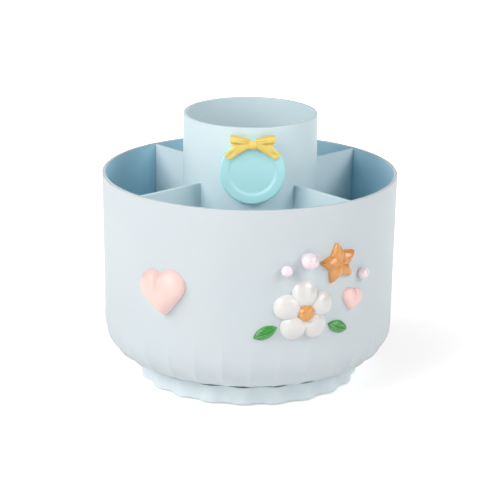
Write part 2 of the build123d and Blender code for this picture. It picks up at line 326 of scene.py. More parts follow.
# Materials
def moulded_plastic(name, pale, deep, grain_mm=0.5, roughness=(0.42, 0.52), inner=None):
    """Plastic or rubber off a textured mould: an even grain that dulls highlights, and slow clouds of tint.

    The real grain is finer than a tenth of a millimetre, and is drawn coarser so that it shows. An inner
    colour is painted shade: faces that look towards the holder's axis take it, as the shade inside the bowl,
    and the rim's top and the floor don't.
    """
    material, tree, place = new_material(name)
    clouds = node(
        tree,
        "ShaderNodeTexNoise",
        {"Vector": place, "Scale": per_metre(MELT_CLOUD_MM), "Detail": 2.0, "Roughness": 0.45},
    )
    tint = node(
        tree,
        "ShaderNodeMix",
        {"Factor": clouds.outputs["Fac"], "A": srgb(pale), "B": srgb(deep)},
        data_type="RGBA",
    )
    # Painted shade: faces turned towards the axis, inside the bowl, shift to the deeper inner colour
    if inner:
        normal = node(tree, "ShaderNodeTexCoord").outputs["Normal"]
        flat = node(tree, "ShaderNodeVectorMath", {0: place, 1: (1, 1, 0)}, operation="MULTIPLY")
        outward = node(tree, "ShaderNodeVectorMath", {0: flat.outputs["Vector"]}, operation="NORMALIZE")
        facing = node(
            tree,
            "ShaderNodeVectorMath",
            {0: outward.outputs["Vector"], 1: normal},
            operation="DOT_PRODUCT",
        )
        painted_shade_share = node(
            tree,
            "ShaderNodeMapRange",
            {"Value": facing.outputs["Value"], "From Min": PAINTED_SHADE_START, "From Max": PAINTED_SHADE_FULL},
        )
        tint = node(
            tree,
            "ShaderNodeMix",
            {"Factor": painted_shade_share.outputs["Result"], "A": tint.outputs["Result"], "B": srgb(inner)},
            data_type="RGBA",
        )
    grain = node(
        tree,
        "ShaderNodeTexNoise",
        {"Vector": place, "Scale": per_metre(grain_mm), "Detail": 3.0, "Roughness": 0.6},
    )
    gloss = node(
        tree,
        "ShaderNodeMapRange",
        {"Value": grain.outputs["Fac"], "To Min": roughness[0], "To Max": roughness[1]},
    )
    bump = node(
        tree,
        "ShaderNodeBump",
        {
            "Height": grain.outputs["Fac"],
            "Strength": PLASTIC_GRAIN_STRENGTH,
            "Distance": PLASTIC_GRAIN_HEIGHT_MM * MM,
        },
    )
    end_in_shader(
        tree,
        {
            "Base Color": tint.outputs["Result"],
            "Roughness": gloss.outputs["Result"],
            "Normal": bump.outputs["Normal"],
            "IOR": PLASTIC_IOR,
        },
    )
    return material


def cast_resin(name, pale, deep, patch_mm, roughness=(0.18, 0.3), coat=0.4, skin_mm=0.7, skin_strength=0.06):
    """Poured resin: two close tints that drift into each other under a smooth, slightly uneven gloss."""
    material, tree, place = new_material(name)
    drift = node(
        tree,
        "ShaderNodeTexNoise",
        {"Vector": place, "Scale": per_metre(patch_mm), "Detail": 2.0, "Roughness": 0.5},
    )
    tint = node(
        tree,
        "ShaderNodeMix",
        {"Factor": drift.outputs["Fac"], "A": srgb(pale), "B": srgb(deep)},
        data_type="RGBA",
    )
    skin = node(
        tree,
        "ShaderNodeTexNoise",
        {"Vector": place, "Scale": per_metre(skin_mm), "Detail": 2.0},
    )
    gloss = node(
        tree,
        "ShaderNodeMapRange",
        {"Value": skin.outputs["Fac"], "To Min": roughness[0], "To Max": roughness[1]},
    )
    bump = node(
        tree,
        "ShaderNodeBump",
        {"Height": skin.outputs["Fac"], "Strength": skin_strength, "Distance": RESIN_SKIN_HEIGHT_MM * MM},
    )
    end_in_shader(
        tree,
        {
            "Base Color": tint.outputs["Result"],
            "Roughness": gloss.outputs["Result"],
            "Normal": bump.outputs["Normal"],
            "IOR": RESIN_IOR,
            "Coat Weight": coat,
            "Coat Roughness": RESIN_COAT_ROUGHNESS,
        },
    )
    return material


def metal(name, light, dark, patch_mm, roughness):
    """Plated or polished steel: a grey with faint patches of finish, some duller than others."""
    material, tree, place = new_material(name)
    patches = node(
        tree,
        "ShaderNodeTexNoise",
        {"Vector": place, "Scale": per_metre(patch_mm), "Detail": 4.0},
    )
    tint = node(
        tree,
        "ShaderNodeMix",
        {"Factor": patches.outputs["Fac"], "A": srgb(light), "B": srgb(dark)},
        data_type="RGBA",
    )
    gloss = node(
        tree,
        "ShaderNodeMapRange",
        {"Value": patches.outputs["Fac"], "To Min": roughness[0], "To Max": roughness[1]},
    )
    end_in_shader(
        tree,
        {"Base Color": tint.outputs["Result"], "Roughness": gloss.outputs["Result"], "Metallic": 1.0},
    )
    return material


def white_paper(name):
    """Seamless studio paper: matt, faintly fibrous, and white to the eye wherever no shadow falls.

    Its glow is seen by the camera, in reflections and through clear things only, so it adds no diffuse light
    to the holder, and it is weaker near the holder so that the shadow shows.
    """
    material, tree, place = new_material(name)
    fibre = node(
        tree,
        "ShaderNodeTexNoise",
        {"Vector": place, "Scale": per_metre(PAPER_FIBRE_MM), "Detail": 2.0},
    )
    tint = node(
        tree,
        "ShaderNodeMix",
        {"Factor": fibre.outputs["Fac"], "A": srgb("#F4F4F4"), "B": srgb("#F2F2F2")},
        data_type="RGBA",
    )
    rays = node(tree, "ShaderNodeLightPath")
    seen = node(
        tree,
        "ShaderNodeMath",
        {0: rays.outputs["Is Camera Ray"], 1: rays.outputs["Is Glossy Ray"]},
        operation="ADD",
    )
    seen_through = node(
        tree,
        "ShaderNodeMath",
        {0: seen.outputs["Value"], 1: rays.outputs["Is Transmission Ray"]},
        operation="ADD",
        use_clamp=True,
    )
    away = node(tree, "ShaderNodeVectorMath", {0: place}, operation="LENGTH")
    level = node(
        tree,
        "ShaderNodeMapRange",
        {
            "Value": away.outputs["Value"],
            "From Min": GLOW_START,
            "From Max": GLOW_END,
            "To Min": GLOW_NEAR,
            "To Max": GLOW_FAR,
        },
        interpolation_type="SMOOTHSTEP",
    )
    glow = node(
        tree,
        "ShaderNodeMath",
        {0: seen_through.outputs["Value"], 1: level.outputs["Result"]},
        operation="MULTIPLY",
    )
    end_in_shader(
        tree,
        {
            "Base Color": tint.outputs["Result"],
            "Roughness": 0.9,
            "Specular IOR Level": 0.0,
            "Emission Color": (1, 1, 1, 1),
            "Emission Strength": glow.outputs["Value"],
        },
    )
    return material


# Shape helpers
def arc(centre, radius, start, end, steps):
    """Points on an arc, in a plane of radius and height; angles in degrees."""
    points = []
    for step in range(steps + 1):
        turn = math.radians(start + (end - start) * step / steps)
        points.append((centre[0] + radius * math.cos(turn), centre[1] + radius * math.sin(turn)))
    return points


def smooth_step(low, high, value):
    """A share that eases from 0 at the low value to 1 at the high one."""
    share = min(1.0, max(0.0, (value - low) / (high - low)))
    return share * share * (3 - 2 * share)


def bell(offset, width):
    """A soft bump: 1 at its middle, and nearly 0 at two widths from it."""
    return math.exp(-((offset / width) ** 2))


def between(pair, share):
    """The value at a share of the way from a pair's first value to its second."""
    return pair[0] + (pair[1] - pair[0]) * share


def spun(profile, steps, closed=True):
    """Spin an outline of radii and heights round the Z axis."""
    shape = bmesh.new()
    points = [shape.verts.new((radius, 0.0, height)) for radius, height in profile]
    for first, second in zip(points, points[1:]):
        shape.edges.new((first, second))
    if closed:
        shape.edges.new((points[-1], points[0]))
    bmesh.ops.spin(
        shape,
        geom=shape.verts[:] + shape.edges[:],
        cent=(0, 0, 0),
        axis=(0, 0, 1),
        angle=math.tau,
        steps=steps,
        use_merge=True,
    )
    bmesh.ops.remove_doubles(shape, verts=shape.verts[:], dist=SAME_PLACE)
    bmesh.ops.recalc_face_normals(shape, faces=shape.faces[:])
    return shape


def turned(shape, angle):
    """Turn a shape round the Z axis, by an angle in radians."""
    bmesh.ops.rotate(shape, cent=(0, 0, 0), matrix=Matrix.Rotation(angle, 3, "Z"), verts=shape.verts[:])
    return shape


def add_shape(target, extra):
    """Copy one shape into another."""
    mesh = bpy.data.meshes.new("part_of_shape")
    extra.to_mesh(mesh)
    extra.free()
    target.from_mesh(mesh)
    bpy.data.meshes.remove(mesh)


def piece(name, shape, material, body, nodes, sharp=35.0, rounding=0):
    """Turn a shape into a finished piece that stands for CAD nodes; edges past the sharp angle stay crisp."""
    bmesh.ops.scale(shape, vec=(MM, MM, MM), verts=shape.verts[:])
    mesh = bpy.data.meshes.new(name)
    shape.to_mesh(mesh)
    shape.free()
    mesh.shade_smooth()
    mesh.set_sharp_from_angle(angle=math.radians(sharp))
    mesh.materials.append(material)
    made = bpy.data.objects.new(name, mesh)
    bpy.context.scene.collection.objects.link(made)
    if rounding:
        modifier = made.modifiers.new("rounding", "SUBSURF")
        modifier.levels = rounding
        modifier.render_levels = rounding
    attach(made, body)
    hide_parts(*nodes)
    return made


# Outer cup
def wall_radius(height):
    """The outer cup's outside radius at a height on its tapered wall."""
    return RIM_RADIUS - (RIM_TOP - height) * math.tan(CUP_DRAFT)


ARC_HEIGHT = UNDERSIDE + CUP_ROUND
ARC_RADIUS = wall_radius(ARC_HEIGHT) - CUP_ROUND
FLUTE_TOP = ARC_HEIGHT + FLUTE_FADE


def flute_share(height):
    """How much of a flute's full depth is left at a height: it fades out at both ends."""
    if height >= ARC_HEIGHT:
        return 1 - smooth_step(ARC_HEIGHT, FLUTE_TOP, height)
    fall = math.asin(min(1.0, (ARC_HEIGHT - height) / CUP_ROUND))
    left = 1 - smooth_step(FLUTE_FOOT_START, FLUTE_FOOT_END, fall)
    return left / max(math.cos(fall), FLUTE_LEAST_COSINE)


def press_flutes(shape):
    """Scoop a shallow hollow into each flute of the lower outside, leaving a narrow ridge between two."""
    pitch = math.tau / FLUTES
    for vert in shape.verts:
        radius = math.hypot(vert.co.x, vert.co.y)
        height = vert.co.z
        if height > FLUTE_TOP or radius < ARC_RADIUS:
            continue
        if height < ARC_HEIGHT:
            below_skin = CUP_ROUND - math.hypot(radius - ARC_RADIUS, ARC_HEIGHT - height)
        else:
            below_skin = wall_radius(height) - radius
        if below_skin > CUP_WALL / 2:
            continue
        turn = math.atan2(vert.co.x, -vert.co.y) - FLUTE_PHASE
        off = abs(turn - pitch * round(turn / pitch)) / (pitch / 2)
        hollow = FLUTE_DEPTH - (FLUTE_DEPTH + FLUTE_RIDGE) * off**FLUTE_POWER
        depth = hollow * flute_share(height)
        vert.co.x *= 1 - depth / radius
        vert.co.y *= 1 - depth / radius


def outer_cup(material):
    """The bowl: one outline spun round the axis, with flutes pressed into its lower outside."""
    lip_height = RIM_TOP - RIM_ROUND
    heights = [ARC_HEIGHT + FLUTE_FADE * row / FLUTE_ROWS for row in range(1, FLUTE_ROWS + 1)]
    heights += [FLUTE_TOP + (lip_height - FLUTE_TOP) * row / WALL_ROWS for row in range(1, WALL_ROWS)]
    outside = arc((ARC_RADIUS, ARC_HEIGHT), CUP_ROUND, -90, 0, CUP_ROUND_STEPS)
    outside += [(wall_radius(height), height) for height in heights]
    lip = arc((RIM_RADIUS - RIM_ROUND, lip_height), RIM_ROUND, 0, 90, EDGE_STEPS)
    lip += arc((RIM_RADIUS - CUP_WALL + RIM_ROUND, lip_height), RIM_ROUND, 90, 180, EDGE_STEPS)
    inner_round = CUP_ROUND - CUP_WALL
    bend_height = FLOOR_TOP + inner_round
    bend_radius = wall_radius(bend_height) - CUP_WALL - inner_round
    inside = arc((bend_radius, bend_height), inner_round, 0, -90, INNER_ROUND_STEPS)
    profile = [(0, UNDERSIDE), *outside, *lip, *inside, (0, FLOOR_TOP)]
    shape = spun(profile, FLUTES * FLUTE_STEPS, closed=False)
    press_flutes(shape)
    return piece("outer_cup_shell", shape, material, "cup", ["outer_cup"])


# Centre cup and dividers
def divider_plate(angle):
    """One divider, from the middle of the tube's wall out to the cup's inside curve."""
    gap = CUP_WALL + INSERT_CLEARANCE
    top = RIM_TOP - DIVIDER_DROP
    root = TUBE_RADIUS - TUBE_WALL / 2
    inner_round = CUP_ROUND - gap
    bend_height = FLOOR_TOP + inner_round
    bend_radius = wall_radius(bend_height) - gap - inner_round
    outline = [(root, top), (root, FLOOR_TOP)]
    outline += arc((bend_radius, bend_height), inner_round, -90, 0, INNER_ROUND_STEPS)
    outline.append((wall_radius(top) - gap, top))
    shape = bmesh.new()
    corners = [shape.verts.new((radius, -DIVIDER_WALL / 2, height)) for radius, height in outline]
    side = shape.faces.new(corners)
    grown = bmesh.ops.extrude_face_region(shape, geom=[side])
    moved = [item for item in grown["geom"] if isinstance(item, bmesh.types.BMVert)]
    bmesh.ops.translate(shape, vec=(0, DIVIDER_WALL, 0), verts=moved)
    bmesh.ops.recalc_face_normals(shape, faces=shape.faces[:])
    top_edges = []
    for edge in shape.edges:
        first, second = (vert.co for vert in edge.verts)
        lower = min(first.z, second.z)
        if lower > top - SAME_PLACE and abs(first.x - second.x) > DIVIDER_WALL:
            top_edges.append(edge)
    bmesh.ops.bevel(
        shape,
        geom=top_edges,
        offset=DIVIDER_EDGE,
        offset_type="OFFSET",
        segments=DIVIDER_EDGE_STEPS,
        profile=0.5,
        affect="EDGES",
        material=-1,
    )
    return turned(shape, angle)


def divider_insert(material):
    """The centre cup, spun from one outline, with the dividers that stand round it."""
    bore = TUBE_RADIUS - TUBE_WALL
    floor_top = TUBE_FLOOR_LOW + TUBE_FLOOR
    lip_height = TUBE_TOP - TUBE_EDGE_ROUND
    fillet_centre = (bore - TUBE_FLOOR_FILLET, floor_top + TUBE_FLOOR_FILLET)
    profile = [
        (0, TUBE_FLOOR_LOW),
        (bore, TUBE_FLOOR_LOW),
        (bore, FLOOR_TOP),
        (TUBE_RADIUS, FLOOR_TOP),
        *arc((TUBE_RADIUS - TUBE_EDGE_ROUND, lip_height), TUBE_EDGE_ROUND, 0, 90, EDGE_STEPS),
        *arc((bore + TUBE_EDGE_ROUND, lip_height), TUBE_EDGE_ROUND, 90, 180, EDGE_STEPS),
        *arc(fillet_centre, TUBE_FLOOR_FILLET, 0, -90, EDGE_STEPS),
        (0, floor_top),
    ]
    shape = spun(profile, TUBE_STEPS, closed=False)
    for step in range(DIVIDERS):
        add_shape(shape, divider_plate(DIVIDER_START + math.tau * step / DIVIDERS))
    return piece("divider_insert_shell", shape, material, "cup", ["divider_insert"])


# Scalloped base
def scallop(turn):
    """Radius of the base's outline: equal arcs that touch, out over each lobe and in between two.

    Two arcs that touch have their centres two radii apart, which makes that radius the root of a quadratic.
    """
    valley = BASE_CREST - LOBE_DEPTH
    half_pitch = math.pi / LOBES
    cosine = math.cos(half_pitch)
    square_term = 2 * (1 - cosine)
    linear_term = 2 * (1 + cosine) * LOBE_DEPTH
    constant_term = BASE_CREST**2 + valley**2 - 2 * cosine * BASE_CREST * valley
    root = math.sqrt(linear_term**2 + 4 * square_term * constant_term)
    bend = (root - linear_term) / (2 * square_term)
    lobe_centre = BASE_CREST - bend
    notch_centre = valley + bend
    meeting = math.atan2(notch_centre * math.sin(half_pitch), lobe_centre + notch_centre * cosine)
    off = abs(turn - 2 * half_pitch * round(turn / (2 * half_pitch)))
    if off <= meeting:
        return lobe_centre * math.cos(off) + math.sqrt(bend**2 - (lobe_centre * math.sin(off)) ** 2)
    off = half_pitch - off
    return notch_centre * math.cos(off) - math.sqrt(bend**2 - (notch_centre * math.sin(off)) ** 2)


def scalloped_base(material):
    """The foot: a tray spun round the axis, whose outside and lip are then drawn in to the lobes."""
    inner = BASE_CREST - LOBE_DEPTH - BASE_WALL
    lip_inside = BASE_CREST - BASE_LIP_WALL
    floor_top = FOOT_TOP + BASE_FLOOR
    low = BASE_LOW.z
    high = BASE_HIGH.z
    race_distance = math.hypot(*((BALL_LOW + BALL_HIGH) / 2).xy)
    race_height = (BALL_LOW.z + BALL_HIGH.z) / 2
    race_radius = (BALL_HIGH.z - BALL_LOW.z) / 2 + RACE_CLEARANCE
    sink = math.degrees(math.asin((race_height - floor_top) / race_radius))
    foot_centre = (BASE_CREST - BASE_FOOT_ROUND, low + BASE_FOOT_ROUND)
    edge_centre = (BASE_CREST - BASE_EDGE_ROUND, high - BASE_EDGE_ROUND)
    profile = [
        (PIVOT_BORE_RADIUS, FOOT_TOP),
        (inner, FOOT_TOP),
        (inner, low),
        *arc(foot_centre, BASE_FOOT_ROUND, -90, 0, EDGE_STEPS),
        *arc(edge_centre, BASE_EDGE_ROUND, 0, 90, BASE_EDGE_STEPS),
        (lip_inside, high),
        (lip_inside, high - BASE_LIP_DEPTH),
        (inner, high - BASE_LIP_DEPTH),
        (inner, floor_top),
        *arc((race_distance, race_height), race_radius, -sink, sink - 180, RACE_STEPS),
        (HUB_RADIUS, floor_top),
        (HUB_RADIUS, HUB_TOP),
        (PIVOT_BORE_RADIUS, HUB_TOP),
    ]
    shape = spun(profile, LOBES * LOBE_STEPS)
    for vert in shape.verts:
        radius = math.hypot(vert.co.x, vert.co.y)
        if radius > lip_inside - SAME_PLACE:
            turn = math.atan2(vert.co.x, -vert.co.y)
            share = (radius - BASE_CREST + scallop(turn)) / radius
            vert.co.x *= share
            vert.co.y *= share
    return piece("scalloped_base_shell", shape, material, "base", ["scalloped_base"])


# Charm helpers
def puffed(outline_radius, height, steps=160, rings=14, fullness=2.6, back=-WALL_SINK):
    """A dome spun to unit radius, then drawn out to an outline; height(share, turn, x, y) lifts its front."""
    profile = [(0.0, 1.0)]
    for ring in range(1, rings + 1):
        lean = math.pi / 2 * ring / rings
        profile.append((math.sin(lean) ** (2 / fullness), max(0.0, math.cos(lean))))
    profile += [(1.0, -1.0), (0.0, -1.0)]
    shape = spun(profile, steps, closed=False)
    for vert in shape.verts:
        share = math.hypot(vert.co.x, vert.co.y)
        turn = math.atan2(vert.co.y, vert.co.x)
        reach = share * outline_radius(turn)
        x = reach * math.cos(turn)
        y = reach * math.sin(turn)
        behind = vert.co.z < -0.5
        lift = back if behind else vert.co.z * height(share, turn, x, y)
        vert.co = (x, y, lift)
    bmesh.ops.recalc_face_normals(shape, faces=shape.faces[:])
    return shape


def block():
    """A cube from -1 to 1 with its edges cut up evenly, to be bent into a piece of the bow."""
    shape = bmesh.new()
    bmesh.ops.create_cube(shape, size=2.0)
    bmesh.ops.subdivide_edges(shape, edges=shape.edges[:], cuts=BOW_CUTS, use_grid_fill=True)
    return shape


def wrap_on_cup(shape, angle, height):
    """Lay a charm on the outer cup's wall: x runs round it, y up it and z out of it."""
    for vert in shape.verts:
        level = height + vert.co.y
        radius = wall_radius(level) + vert.co.z
        turn = math.radians(angle) + vert.co.x / wall_radius(height)
        vert.co = (radius * math.sin(turn), -radius * math.cos(turn), level)
    return shape


def wrap_by_flower(shape, across, up):
    """Lay a charm on the outer cup's wall at a place across and up from the flower's middle."""
    level = FLOWER_HEIGHT + up
    return wrap_on_cup(shape, FLOWER_ANGLE + math.degrees(across / wall_radius(level)), level)


def stand_on_tube(shape):
    """Put a charm at the dish's place on the centre cup, its back cut to the cup's curve."""
    for vert in shape.verts:
        curve = math.sqrt(TUBE_RADIUS**2 - min(abs(vert.co.x), TUBE_RADIUS) ** 2) - TUBE_RADIUS
        vert.co.z = max(vert.co.z, curve - TUBE_SINK)
    turn = math.radians(DISH_ANGLE)
    across = Vector((math.cos(turn), math.sin(turn), 0))
    outward = Vector((math.sin(turn), -math.cos(turn), 0))
    middle = outward * TUBE_RADIUS + Vector((0, 0, DISH_HEIGHT))
    for vert in shape.verts:
        vert.co = middle + across * vert.co.x + outward * vert.co.z + Vector((0, 0, vert.co.y))
    return shape


# Dish charm
def dish_charm(material):
    """Round dish: a broad rim that leans in a little, then a short slope down to a flat floor."""
    slope_top = DISH_RIM - DISH_RIM_LEAN
    slope = []
    for step in range(DISH_SLOPE_STEPS + 1):
        radius = between((DISH_SLOPE_RADIUS, DISH_FLOOR_RADIUS), step / DISH_SLOPE_STEPS)
        left = smooth_step(DISH_FLOOR_RADIUS, DISH_SLOPE_RADIUS, radius)
        slope.append((radius, between((DISH_FLOOR, slope_top), left)))
    edge_centre = (DISH_RADIUS - DISH_EDGE_ROUND, DISH_RIM - DISH_EDGE_ROUND)
    profile = [
        (0, DISH_BACK),
        (DISH_RADIUS - DISH_BACK_INSET, DISH_BACK),
        (DISH_RADIUS - DISH_SHOULDER_INSET, DISH_SHOULDER),
        *arc(edge_centre, DISH_EDGE_ROUND, 0, DISH_EDGE_TURN, DISH_EDGE_STEPS),
        *slope,
        (0, DISH_FLOOR),
    ]
    shape = stand_on_tube(spun(profile, DISH_STEPS, closed=False))
    return piece("dish_charm_resin", shape, material, "cup", ["dish_charm"])


# Bow charm
def bow_loop(hand, reach, middle, half, low, full):
    """One layer of a loop: a puffed band, creased where it gathers at the knot.

    Its middle height and half width go from the knot's value to the far end's, and full is its thickness.
    """
    shape = block()
    for vert in shape.verts:
        along = (vert.co.x + 1) / 2
        across = vert.co.y
        front = (vert.co.z + 1) / 2
        corner = LOOP_CORNER * abs(across) ** 6
        x = LOOP_START + (reach - corner) * along
        y = between(middle, along) + between(half, smooth_step(0.0, LOOP_WIDE_BY, along)) * across
        edge = 1 - LOOP_EDGE_DROP * abs(across) ** 4
        puff = math.sin(math.pi * (LOOP_PUFF_START + LOOP_PUFF_SPAN * along))
        crown = edge * between((LOOP_FLAT, 1.0), puff)
        fold = bell(across - FOLD_PLACE, FOLD_WIDTH) * (1 - smooth_step(FOLD_START, FOLD_END, along))
        thickness = full * crown - FOLD_DEPTH * fold
        vert.co = (hand * x, BOW_RISE + y, low + thickness * front)
    return shape


def bow_tail(hand):
    """One tail: a flat ribbon that bends down over the dish's rim, cut square, with a pressed dimple."""
    shape = block()
    for vert in shape.verts:
        along = (vert.co.x + 1) / 2
        across = vert.co.y
        front = (vert.co.z + 1) / 2
        rest = 1 - along
        middle = TAIL_START * rest**2 + TAIL_BEND * 2 * along * rest + TAIL_END * along**2
        ahead = ((TAIL_BEND - TAIL_START) * rest + (TAIL_END - TAIL_BEND) * along).normalized()
        half_width = TAIL_NECK + TAIL_WIDEN * smooth_step(0.0, TAIL_WIDE_BY, along) - TAIL_NARROW * along
        spot = middle + Vector((-ahead.y, ahead.x)) * half_width * across
        dimple = bell(across, DIMPLE_WIDTH) * bell(along - DIMPLE_PLACE, DIMPLE_LENGTH)
        crown = TAIL_CROWN * (1 - abs(across) ** 3) - DIMPLE_DEPTH * dimple
        low = TAIL_LOW - TAIL_LEAN_BACK * along
        vert.co = (hand * spot.x, BOW_RISE + spot.y, low + (TAIL_THICKNESS + crown) * front)
    return shape


def bow_knot():
    """The knot: a plump band with two pressed pleats."""
    shape = block()
    for vert in shape.verts:
        x, y, z = vert.co
        plump = (1 - KNOT_SWELL * abs(x) ** 3) * (1 - KNOT_SWELL * abs(y) ** 3)
        pleat = bell(abs(x) - PLEAT_PLACE, PLEAT_WIDTH) * (1 + z) / 2
        vert.co = (
            KNOT_HALF_WIDTH * x * (1 - KNOT_CORNER * abs(y) ** 4),
            BOW_RISE + KNOT_RAISE + KNOT_HALF_HEIGHT * y * (1 - KNOT_CORNER * abs(x) ** 4),
            KNOT_OUT + KNOT_HALF_DEPTH * z * plump - PLEAT_DEPTH * pleat,
        )
    return shape


def bow_charm(material):
    """Bow over the dish's upper edge: a knot, two loops of two layers each and two tails."""
    shape = bow_knot()
    for hand in (-1, 1):
        add_shape(shape, bow_loop(hand, **UPPER_LOOP))
        add_shape(shape, bow_loop(hand, **LOWER_LOOP))
        add_shape(shape, bow_tail(hand))
    bmesh.ops.recalc_face_normals(shape, faces=shape.faces[:])
    shape = stand_on_tube(shape)
    return piece(
        "bow_charm_resin", shape, material, "cup", ["bow_charm"], sharp=60, rounding=1
    )


# Heart charms
def heart_outline(side):
    """Heart: a square on its corner with a round lobe on each upper side, and a soft tip."""

    def radius(turn):
        across = abs(math.cos(turn))
        up = math.sin(turn)
        if up >= 0:
            return side / math.sqrt(2) * (across + up)
        return side / math.sqrt(2) / (math.hypot(across, HEART_TIP_ROUND * up * up) - up)

    return radius


def heart_charm(name, side, thickness, tilt, place, material, replaced):
    """Plump heart with a shallow crease below its notch."""

    def height(share, turn, x, y):
        crease = bell(x, CREASE_WIDTH * side) * smooth_step(CREASE_START * side, CREASE_END * side, y)
        return thickness * (1 - CREASE_DEPTH * crease)

    shape = turned(puffed(heart_outline(side), height), tilt)
    return piece(name, place(shape), material, "cup", [replaced], sharp=70)


# Flower charm and its centre
def flower_charm(material):
    """Flower of plump petals that dip between each other and towards the middle."""
    pitch = math.tau / PETALS

    def off_petal(turn):
        away = turn - math.pi / 2
        return away - pitch * round(away / pitch)

    def outline(turn):
        off = off_petal(turn)
        return PETAL_REACH * math.cos(off) + math.sqrt(PETAL_RADIUS**2 - (PETAL_REACH * math.sin(off)) ** 2)

    def height(share, turn, x, y):
        off = off_petal(turn)
        reach = math.hypot(x, y)
        away = math.hypot(reach * math.cos(off) - PETAL_REACH, reach * math.sin(off)) / PETAL_RADIUS
        bulge = math.sqrt(max(0.0, 1 - min(1.0, away) ** 2))
        return PETAL_THICKNESS * between((PETAL_VALLEY, 1.0), bulge)

    shape = puffed(outline, height, steps=PETALS * PETAL_STEPS, rings=18, fullness=3.2)
    shape = wrap_on_cup(shape, FLOWER_ANGLE, FLOWER_HEIGHT)
    return piece("flower_charm_resin", shape, material, "cup", ["flower_charm"], sharp=70)


def flower_centre(material):
    """Domed centre with a ring of small dimples."""

    def wave(turn):
        return math.cos(CENTRE_WAVES * turn)

    def outline(turn):
        return CENTRE_RADIUS + CENTRE_WAVE_DEPTH * wave(turn)

    def height(share, turn, x, y):
        ring = smooth_step(CENTRE_DIMPLE_START, CENTRE_DIMPLE_END, share)
        return CENTRE_THICKNESS - CENTRE_DIMPLE_DEPTH * wave(turn) * ring

    shape = puffed(outline, height, steps=120, back=CENTRE_BACK)
    shape = wrap_on_cup(shape, FLOWER_ANGLE, FLOWER_HEIGHT)
    return piece("flower_centre_resin", shape, material, "cup", ["flower_centre"], sharp=70)


# Charms round the flower
def star_charm(material):
    """Soft star with a low ridge out to each point."""
    half_pitch = math.pi / STAR_POINTS

    def off_point(turn):
        away = turn - math.pi / 2
        off = abs(away - 2 * half_pitch * round(away / (2 * half_pitch)))
        return math.hypot(off, STAR_TIP_ROUND)

    def outline(turn):
        off = min(off_point(turn), half_pitch)
        reach = STAR_RADIUS * math.sin(off) + STAR_WAIST * math.sin(half_pitch - off)
        return STAR_RADIUS * STAR_WAIST * math.sin(half_pitch) / reach

    def height(share, turn, x, y):
        ridge = 1 - off_point(turn) / half_pitch
        return STAR_THICKNESS * (1 - STAR_RIDGE + STAR_RIDGE * ridge)

    shape = turned(puffed(outline, height, steps=200), STAR_TILT)
    shape = wrap_by_flower(shape, *STAR_PLACE)
    return piece("star_charm_resin", shape, material, "cup", ["star_charm"], sharp=70)


def pearl_charm(number, across, up, diameter, material):
    """Round bead in a small collar of glue."""
    replaced = f"pearl_charm_{number}"
    radius = diameter / 2
    bead = arc((0, radius - PEARL_SINK), radius, 90, PEARL_NECK_TURN, PEARL_RINGS)
    neck_radius, neck_height = bead[-1]
    glue = [(neck_radius, neck_height / 2), (neck_radius + GLUE_COLLAR, -WALL_SINK), (0, -WALL_SINK)]
    shape = wrap_by_flower(spun([*bead, *glue], PEARL_STEPS, closed=False), across, up)
    return piece(f"{replaced}_resin", shape, material, "cup", [replaced], sharp=50)


def leaf_charm(number, across, up, tilt, material):
    """Pointed leaf with a pressed midrib and slanting veins."""
    replaced = f"leaf_charm_{number}"
    bend = (LEAF_HALF_LENGTH**2 + LEAF_HALF_WIDTH**2) / (2 * LEAF_HALF_WIDTH)
    drop = bend - LEAF_HALF_WIDTH

    def outline(turn):
        rise = drop * abs(math.sin(turn))
        return math.sqrt(rise**2 + bend**2 - drop**2) - rise

    def height(share, turn, x, y):
        wave = math.cos(math.tau * (x - VEIN_SLANT * abs(y)) / VEIN_SPACING)
        vein = ((1 + wave) / 2) ** VEIN_POWER * smooth_step(VEIN_START, VEIN_FULL, abs(y))
        return LEAF_THICKNESS - MIDRIB_DEPTH * bell(y, MIDRIB_WIDTH) - VEIN_DEPTH * vein

    shape = turned(puffed(outline, height, steps=192, rings=16), math.radians(tilt))
    shape = wrap_by_flower(shape, across, up)
    return piece(f"{replaced}_resin", shape, material, "cup", [replaced], sharp=70)


# Hidden machine parts and feet, which keep their CAD shapes
def dress_cad_nodes():
    """Give the turntable's parts and the feet their real finishes."""
    # Natural polypropylene: milky, dull and even
    hidden_plastic = moulded_plastic("moulded_polypropylene_natural", "#E6E8E6", "#DDE0DE")
    # Ground and polished bearing steel: close to a mirror
    polished = metal("polished_bearing_steel", "#D8D9DC", "#C6C8CC", 1.5, (0.08, 0.16))
    # Bright zinc plate: a soft grey shine with cloudy patches
    zinc = metal("zinc_plated_steel", "#C9CBCB", "#AEB1B2", 0.8, (0.28, 0.42))
    # Moulded silicone rubber: pale grey and matt, with no clear highlight
    silicone = moulded_plastic("silicone_rubber_grey", "#DADEDF", "#CCD1D3", 0.4, (0.55, 0.7))
    finishes = {
        "turntable_plate": hidden_plastic,
        "ball_cage": hidden_plastic,
        "turntable_screws": zinc,
        "pivot_washer": zinc,
        "pivot_screw": zinc,
    }
    for name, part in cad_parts.items():
        finish = finishes.get(name)
        if name.startswith("bearing_ball"):
            finish = polished
        if name.startswith("rubber_foot"):
            finish = silicone
        if finish:
            part.data.materials.clear()
            part.data.materials.append(finish)


# Studio
def studio_floor():
    """A wide sheet of white paper at the height of the desk."""
    shape = bmesh.new()
    bmesh.ops.create_grid(shape, x_segments=1, y_segments=1, size=FLOOR_HALF_WIDTH)
    mesh = bpy.data.meshes.new("studio_floor")
    shape.to_mesh(mesh)
    shape.free()
    mesh.materials.append(white_paper("seamless_white_paper"))
    floor = bpy.data.objects.new("studio_floor", mesh)
    bpy.context.scene.collection.objects.link(floor)


